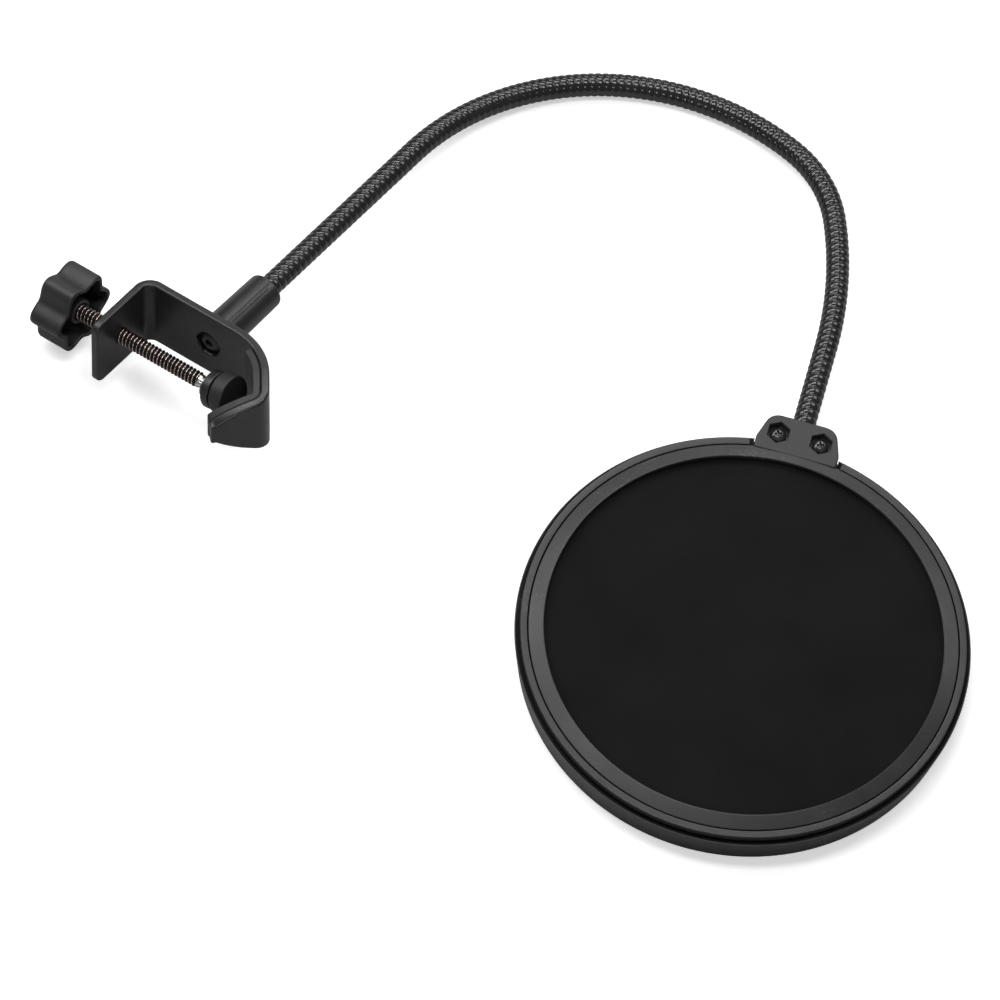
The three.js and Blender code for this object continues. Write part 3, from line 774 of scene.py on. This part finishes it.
def strap_stations(liner_only=False):
    """Points and inward directions along the strap's outer face, from the leg's end to the hook's tip."""
    corner = 6.5
    back_radius = 27
    back_turn = math.radians(52)
    liner_turn = math.radians(22)
    tip_radius = 6.5
    tip_turn = math.radians(75.5)
    straight = 6.5
    tip_length = 15.3
    stations = []

    def straight_to(start, heading, length):
        inward = np.array([heading[1], -heading[0]])
        count = max(2, int(length / 0.5))
        for k in range(count + 1):
            stations.append((start + heading * length * k / count, inward))
        return start + heading * length

    def arc(centre, radius, start, end):
        count = max(6, int(abs(end - start) / math.radians(3)))
        for k in range(count + 1):
            angle = start + (end - start) * k / count
            out = np.array([math.cos(angle), math.sin(angle)])
            stations.append((centre + radius * out, -out))

    quarter = math.pi / 2
    if not liner_only:
        straight_to(np.array([LEG_X, LEG_END_Y]), np.array([0.0, 1.0]), -LEG_END_Y - corner)
        arc(np.array([LEG_X + corner, -corner]), corner, math.pi, quarter)
        back_length = HOOK_START_X - LEG_X - corner
        straight_to(np.array([LEG_X + corner, 0.0]), np.array([1.0, 0.0]), back_length)
    centre = np.array([HOOK_START_X, -back_radius])
    first = quarter - liner_turn if liner_only else quarter
    arc(centre, back_radius, first, quarter - back_turn)
    heading = np.array([math.cos(back_turn), -math.sin(back_turn)])
    inward = np.array([-math.sin(back_turn), -math.cos(back_turn)])
    end = straight_to(centre - inward * back_radius, heading, straight)
    centre = end + inward * tip_radius
    arc(centre, tip_radius, quarter - back_turn, quarter - back_turn - tip_turn)
    last = back_turn + tip_turn
    heading = np.array([math.cos(last), -math.sin(last)])
    inward = np.array([-math.sin(last), -math.cos(last)])
    straight_to(centre - inward * tip_radius, heading, tip_length)
    kept = [stations[0]]
    for station in stations[1:]:
        if np.linalg.norm(station[0] - kept[-1][0]) > 0.01:
            kept.append(station)
    return kept


def half_width(x, y, half):
    """The strap's half width where it passes a point: round corners on the leg, a taper on the hook."""
    if x < SOCKET_X:
        corner = 4
        if y > LEG_END_Y + corner:
            return half
        t = 1 - math.sqrt(max(0, (y - LEG_END_Y) / corner))
        return half - corner * t**2
    if y > -10:
        return half
    # the taper runs from y -10 to -34, where y = -10 - 32 t + 8 t^2
    t = (32 - math.sqrt(1024 + 32 * (10 + max(y, -34)))) / 16
    return half - 3.8 * t - 5.9 * t**2


def strap_solid(stations, near, far, half, edge):
    """A strap with a rounded edge all round, swept along the stations."""
    lengths = [0]
    for before, after in zip(stations, stations[1:]):
        lengths.append(lengths[-1] + np.linalg.norm(after[0] - before[0]))
    total = lengths[-1]
    angles = [math.radians(18 * k) for k in range(6)]
    arcs = [(edge * (1 - math.cos(angle)), edge * (1 - math.sin(angle))) for angle in angles]
    vertices = []
    extra = [depth for depth, _ in arcs]
    places = extra + [length for length in lengths if edge * 1.05 < length < total - edge * 1.05]
    places += [total - depth for depth in reversed(extra)]
    for place in places:
        point = np.array([np.interp(place, lengths, [s[0][k] for s in stations]) for k in range(2)])
        inward = unit([np.interp(place, lengths, [s[1][k] for s in stations]) for k in range(2)])
        end = min(place, total - place)
        shrink = edge - math.sqrt(max(0, edge**2 - (edge - end) ** 2)) if end < edge else 0
        section = []
        for depth_in, side_in in arcs:
            section.append((near + max(depth_in, shrink), side_in + shrink * (1 - side_in / edge) * 0.5))
        section = section + [(near + far - t, s) for t, s in reversed(section)]
        ring = []
        for t, s in section:
            p = point + inward * t
            ring.append((p[0], p[1], half_width(p[0], p[1], half) - s))
        ring += [(x, y, -z) for x, y, z in reversed(ring)]
        vertices += ring
    return vertices, skin(len(places), len(ring), capped=True)


def recess_rim():
    """What rounds off the recess's edge: a disc whose rim is a quarter of a circle."""
    inner = RECESS / 2 + 0.3
    outer = inner + RECESS_ROUNDING
    curve = []
    for k in range(7):
        angle = math.radians(15 * k)
        radius = inner + RECESS_ROUNDING * (1 - math.cos(angle))
        curve.append((radius, RECESS_ROUNDING * (1 - math.sin(angle)) - STRAP))
    profile = [(0, RECESS_ROUNDING - STRAP), *curve, (outer, -STRAP - 1), (0, -STRAP - 1)]
    return lathe(profile, 72, "y")


def clamp_frame():
    """The strap, with the screw's hole in its leg and the bolt's recess in its back."""
    shape = strap_solid(strap_stations(), 0, STRAP, CLAMP_WIDTH / 2, 0.8)
    strap = piece_of("clamp_body", *shape, IN_CLAMP)
    screw = IN_CLAMP @ shifted(0, SCREW_Y)
    hole = cutter(rod(SCREW_R + 0.3, LEG_X - 3, LEG_X + STRAP + 3, 48, "x"), screw)
    bolt = IN_CLAMP @ shifted(SOCKET_X, 0)
    recess = cutter(prism(hexagon(RECESS), -STRAP - 2, RECESS_DEPTH - STRAP, "y"), bolt)
    rim = cutter(recess_rim(), bolt)
    combine(strap, [hole, recess, rim], "DIFFERENCE")
    return dress(even_normals(strap), CLAMP, "clamp", "clamp_plastic", "clamp_frame")


def jaw_liner():
    half = CLAMP_WIDTH / 2 - LINER_INSET
    shape = strap_solid(strap_stations(True), STRAP + 0.05, STRAP + 0.3 + LINER, half, 0.6)
    liner = piece_of("jaw_pad", *shape, IN_CLAMP)
    return dress(even_normals(liner), LINER_RUBBER, "clamp", "liner_rubber", "jaw_liner")


def neck_socket():
    profile = rounded([
        (NECK_R + NECK_CLEARANCE, 0.1, 0),
        (SOCKET_R + 0.5, 0.1, 0.1),
        (SOCKET_R + 0.5, 2, 0.5),
        (SOCKET_R, 2.5, 0.4),
        (SOCKET_R - 0.4, SOCKET_LENGTH, 1.6),
        (NECK_R + NECK_CLEARANCE, SOCKET_LENGTH, 0.4),
    ], 0.2, 6)
    place = IN_CLAMP @ shifted(SOCKET_X, 0)
    socket = piece_of("socket", *lathe(profile, 128, "y"), place)
    crest = SOCKET_R + 0.35
    section = rounded([(-0.8, 5), (0.8, 5), (0.6, crest), (-0.6, crest)], 0.3, 4)
    turn = Matrix.Rotation(math.radians(RIDGE_ANGLE), 4, "Y")
    ridge = cutter(prism(section, 2.2, SOCKET_LENGTH - 3.5, "y"), place @ turn)
    bevelled(ridge, 0.3, 3)
    combine(socket, [ridge], "UNION")
    return dress(even_normals(socket), SOCKET, "clamp", "clamp_plastic", "neck_socket")


def socket_bolt():
    seat = RECESS_DEPTH - STRAP
    top = seat - BOLT_HEAD
    profile = rounded([
        (0, 8),
        (BOLT_SHANK_R, 8),
        (BOLT_SHANK_R, seat, 0),
        (BOLT_HEAD_R, seat),
        (BOLT_HEAD_R, seat - 0.8, 0.5),
        (2.6, top, 0.6),
        (0, top),
    ], 0.15, 4)
    place = IN_CLAMP @ shifted(SOCKET_X, 0)
    bolt = piece_of("bolt", *lathe(profile, 48, "y"), place)
    combine(bolt, [cutter(prism(hexagon(BOLT_KEY), top - 1, top + 1.3, "y"), place)], "DIFFERENCE")
    return dress(even_normals(bolt), DULL_STEEL, "clamp", "black_screws", "socket_bolt")


def thread_radius(x, share, fade):
    """The thread's radius at a place along it and a share of a turn round it."""
    turn = (x / THREAD_PITCH - share) % 1
    across = abs(2 * turn - 1)
    depth = THREAD_DEPTH * np.clip((across - 0.12) / 0.76, 0, 1)
    return SCREW_R - depth - (1 - fade) * 0.35 * (1 - across)


def clamp_screw():
    """The threaded shank with its turned-down neck and ball."""
    around = 40
    step = THREAD_PITCH / 14
    start = SCREW_START_X
    end = SCREW_NECK_X
    count = int(round((end - start) / step))
    vertices = []
    for i in range(count + 1):
        x = start + step * i
        fade = max(0, min(1, x - start, (end - x) / 1.2))
        for k in range(around):
            angle = 2 * math.pi * k / around
            r = thread_radius(x, k / around, fade)
            vertices.append((x, r * math.cos(angle), r * math.sin(angle)))
    tail = [(end + 0.4, 2.3), (end + 1.0, SCREW_TIP_R), (BALL_X - 2, SCREW_TIP_R)]
    for x, r in tail:
        vertices += [(x, y, z) for y, z in circle(r, around)]
    faces = skin(count + 1 + len(tail), around, capped=True)
    place = IN_CLAMP @ shifted(0, SCREW_Y)
    screw = piece_of("screw_thread", vertices, faces, place, sharp=60)
    dress(screw, GROOVES_PAINTED_SHADE, "screw", "screw_steel", "clamp_screw")
    screw.data.materials.append(BRIGHT)
    screw.data.materials.append(CRESTS_PAINTED_HIGHLIGHT)
    # Faces near the crests get the painted highlight copy of the steel; the grooves keep the painted shade
    # copy
    for polygon in screw.data.polygons:
        from_start = np.array(polygon.center) / MM - clamp_origin - SCREW_Y * along_socket
        x = from_start @ along_screw
        r = np.linalg.norm(from_start - x * along_screw)
        if x > SCREW_NECK_X - 0.5:
            polygon.material_index = 1
        elif r > SCREW_R - THREAD_HIGHLIGHT_SHARE * THREAD_DEPTH:
            polygon.material_index = 2
    screw_ball(place)


def screw_ball(place):
    profile = []
    for k in range(25):
        angle = math.pi * k / 24
        profile.append((BALL_R * math.sin(angle), BALL_X - BALL_R * math.cos(angle)))
    knuckle = piece_of("screw_ball", *lathe(profile, 48, "x"), place)
    dress(knuckle, BRIGHT, "screw", "screw_steel")


def lobed(angle, radius, depth):
    return radius - depth * (1 - math.cos(KNOB_LOBES * angle)) / 2


def lobed_loops():
    """How far in from the lobes each loop of the knob's wall lies, and where along the screw."""
    outer = KNOB_X
    rim = KNOB_X + KNOB_THICKNESS
    inside = KNOB_X + KNOB_TOP
    rounded_top = [(7, outer), (1.6, outer), (0.9, outer + 0.12), (0.35, outer + 0.5), (0.06, outer + 1.1)]
    outside = [(0, outer + 2), (0, rim - 0.6), (0.1, rim - 0.25), (0.35, rim)]
    back_in = [(KNOB_WALL - inset, x) for inset, x in reversed(outside[1:])]
    hollow = [(KNOB_WALL + 0.3, inside + 0.8), (KNOB_WALL + 1, inside)]
    return rounded_top + outside + back_in + hollow


def boss_loops():
    """The radius of each loop of the knob's boss and bore, and where along the screw."""
    inside = KNOB_X + KNOB_TOP
    end = KNOB_BOSS_END
    foot = [(KNOB_BOSS_R + 0.4, inside), (KNOB_BOSS_R + 0.1, inside + 0.5)]
    tip = [(KNOB_BOSS_R - 0.2, end - 0.5), (KNOB_BOSS_R - 0.6, end), (SCREW_R + 0.7, end)]
    bore = [(SCREW_R + 0.35, end - 0.3), (SCREW_R + 0.35, SCREW_START_X - 0.2)]
    return foot + tip + bore


def knob():
    """Hollow towards the clamp: a lobed wall round a boss."""
    sides = 240
    angles = [2 * math.pi * k / sides for k in range(sides)]
    loops = []
    for inset, x in lobed_loops():
        flute = KNOB_FLUTE * (1 - 0.03 * inset)
        loops.append((x, [lobed(angle, KNOB_R - inset, flute) for angle in angles]))
    for radius, x in boss_loops():
        loops.append((x, [radius] * sides))
    phase = math.radians(KNOB_PHASE)
    vertices = []
    for x, radii in loops:
        for angle, r in zip(angles, radii):
            vertices.append((x, r * math.sin(angle + phase), -r * math.cos(angle + phase)))
    place = IN_CLAMP @ shifted(0, SCREW_Y)
    made = piece_of("handle", vertices, skin(len(loops), sides, capped=True), place, sharp=50)
    return dress(even_normals(made), KNOB, "screw", "knob_plastic", "knob")


def pad_washer():
    inner = SCREW_TIP_R + 0.2
    end = WASHER_X + WASHER_THICKNESS
    profile = rounded([(inner, WASHER_X), (WASHER_R, WASHER_X), (WASHER_R, end), (inner, end)], 0.2, 3)
    washer = piece_of("washer", *lathe(profile, 64, "x"), IN_CLAMP @ shifted(0, SCREW_Y))
    return dress(washer, FERRULE, "pad_carrier", "screw_steel", "pad_washer")


def pad_cup():
    profile = rounded([
        (BALL_R + 0.5, -2, 0.2),
        (PAD_CUP_R, -2, 0.5),
        (PAD_CUP_R, 1.2, 0.5),
        (PAD_HUB_R, 1.2, 0.1),
        (PAD_HUB_R, 4.7, 0.1),
        (0, 4.7, 0),
        (0, BALL_R + 0.3, 0),
        (BALL_R + 0.3, BALL_R + 0.3, 0),
    ], 0.2, 4)
    cup = piece_of("pad_socket", *lathe(profile, 72, "x"), IN_PAD)
    return dress(even_normals(cup), CLAMP, "pad", "pad_plastic", "pad_cup")


def pad_face():
    profile = rounded([
        (PAD_HUB_R + 0.1, 2.2, 0.1),
        (PAD_FACE_R, 2.2, 0.5),
        (PAD_FACE_R, PAD_FACE_X, 0.8),
        (0, PAD_FACE_X, 0),
        (0, 4.8, 0),
        (PAD_HUB_R + 0.1, 4.8, 0),
    ], 0.2, 5)
    face = piece_of("pad_front", *lathe(profile, 72, "x"), IN_PAD)
    return dress(even_normals(face), LINER_RUBBER, "pad", "liner_rubber", "pad_face")


def build_object():
    front_ring()
    rear_ring()
    hoop_band()
    screen("screen_front", "front_mesh", HEAD_HEIGHT - FLANGE - 0.75, -0.25)
    screen("screen_rear", "rear_mesh", FLANGE + 0.5, 0.1)
    left, right = screw_places()
    tab_screw("tab_fastener_left", "tab_screw_left", left)
    tab_screw("tab_fastener_right", "tab_screw_right", right)
    neck()
    clamp_frame()
    jaw_liner()
    neck_socket()
    socket_bolt()
    clamp_screw()
    knob()
    pad_washer()
    pad_cup()
    pad_face()
    recolour_cad_pieces()


def recolour_cad_pieces():
    """Three hidden pieces stay as the CAD made them, with their own materials."""
    carried = {"spacer_ring": BAND, "neck_root_ferrule": FERRULE, "neck_tip_ferrule": FERRULE}
    for node, surface in carried.items():
        mesh = frame["nodes"][node].data
        mesh.materials.clear()
        mesh.materials.append(surface)


# Studio

CAMERA_AZIMUTH = 26.27
CAMERA_ELEVATION = 61.9
CAMERA_ROLL = 13
CAMERA_DISTANCE = 12  # little perspective, yet a lens short enough for the views from other sides
VIEW_WIDTH = 0.3384  # metres across the picture at the object
HEAD_IN_VIEW = (0.2443, -0.1343)  # the hoop's middle from the picture's, as parts of its width


def view_axes():
    """To the right, up and back towards the camera."""
    a = math.radians(CAMERA_AZIMUTH)
    e = math.radians(CAMERA_ELEVATION)
    back = Vector((math.sin(a) * math.cos(e), -math.cos(a) * math.cos(e), math.sin(e)))
    level = Vector((math.cos(a), math.sin(a), 0))
    roll = Quaternion(back, math.radians(CAMERA_ROLL))
    return roll @ level, roll @ back.cross(level), back


def camera():
    right, upward, back = view_axes()
    data = bpy.data.cameras.new("camera")
    data.sensor_width = 36
    data.lens = data.sensor_width * CAMERA_DISTANCE / VIEW_WIDTH
    data.clip_start = 1
    data.clip_end = 100
    eye = bpy.data.objects.new("camera", data)
    bpy.context.scene.collection.objects.link(eye)
    hoop = Vector((head_centre[0], head_centre[1], HEAD_HEIGHT)) * MM
    middle = hoop - (right * HEAD_IN_VIEW[0] + upward * HEAD_IN_VIEW[1]) * VIEW_WIDTH
    eye.location = middle + back * CAMERA_DISTANCE
    eye.rotation_mode = "QUATERNION"
    eye.rotation_quaternion = Matrix((right, upward, back)).transposed().to_quaternion()
    bpy.context.scene.camera = eye


FLOOR_GLOW = 0.45
FLOOR_BOUNCE = 0.45  # it throws less light on the object than it shows, as a small sheet would


def floor():
    size = 6.0
    vertices = [(-size, -size, 0), (size, -size, 0), (size, size, 0), (-size, size, 0)]
    mesh = bpy.data.meshes.new("floor")
    mesh.from_pydata(vertices, [], [(0, 1, 2, 3)])
    made = bpy.data.objects.new("floor", mesh)
    bpy.context.scene.collection.objects.link(made)
    surface = bpy.data.materials.new("paper")
    surface.use_nodes = True
    tree = surface.node_tree
    paper = tree.nodes["Principled BSDF"]
    paper.inputs["Base Color"].default_value = (0.9, 0.9, 0.9, 1)
    paper.inputs["Roughness"].default_value = 0.9
    paper.inputs["Specular IOR Level"].default_value = 0.1
    paper.inputs["Emission Color"].default_value = (1, 1, 1, 1)
    paper.inputs["Emission Strength"].default_value = FLOOR_GLOW
    dimmer = tree.nodes.new("ShaderNodeBsdfDiffuse")
    dimmer.inputs["Color"].default_value = (FLOOR_BOUNCE, FLOOR_BOUNCE, FLOOR_BOUNCE, 1)
    ray = tree.nodes.new("ShaderNodeLightPath")
    mix = tree.nodes.new("ShaderNodeMixShader")
    tree.links.new(ray.outputs["Is Camera Ray"], mix.inputs["Fac"])
    tree.links.new(dimmer.outputs["BSDF"], mix.inputs[1])
    tree.links.new(paper.outputs["BSDF"], mix.inputs[2])
    tree.links.new(mix.outputs["Shader"], tree.nodes["Material Output"].inputs["Surface"])
    mesh.materials.append(surface)


def softbox(name, direction, distance, size, power):
    """An area light that faces the object, its long side level with the picture."""
    data = bpy.data.lights.new(name, "AREA")
    data.shape = "RECTANGLE"
    data.size, data.size_y = size
    data.energy = power
    light = bpy.data.objects.new(name, data)
    bpy.context.scene.collection.objects.link(light)
    away = Vector(direction).normalized()
    along = (view_axes()[0] - away * away.dot(view_axes()[0])).normalized()
    light.location = away * distance
    light.rotation_mode = "QUATERNION"
    light.rotation_quaternion = Matrix((along, away.cross(along), away)).transposed().to_quaternion()


def studio():
    scene = bpy.context.scene
    scene.view_settings.view_transform = "Standard"
    world = bpy.data.worlds.new("studio")
    world.use_nodes = True
    background = world.node_tree.nodes["Background"]
    background.inputs["Color"].default_value = (1, 1, 1, 1)
    background.inputs["Strength"].default_value = 0.2
    scene.world = world
    floor()
    softbox("overhead", (-0.10, -0.05, 0.99), 1.6, (1.0, 0.28), 10)
    softbox("behind", (-0.43, 0.42, 0.80), 1.6, (1.0, 0.28), 8)
    softbox("far", (-0.40, 0.82, 0.41), 1.6, (0.8, 0.3), 3)
    softbox("left", (-0.75, -0.10, 0.65), 1.6, (0.8, 0.7), 10)
    softbox("right", (0.20, 0.74, 0.64), 1.6, (0.7, 0.5), 5)
    softbox("front", (0.15, -0.81, 0.57), 1.6, (0.5, 0.15), 3.5)


camera()
build_object()
studio()
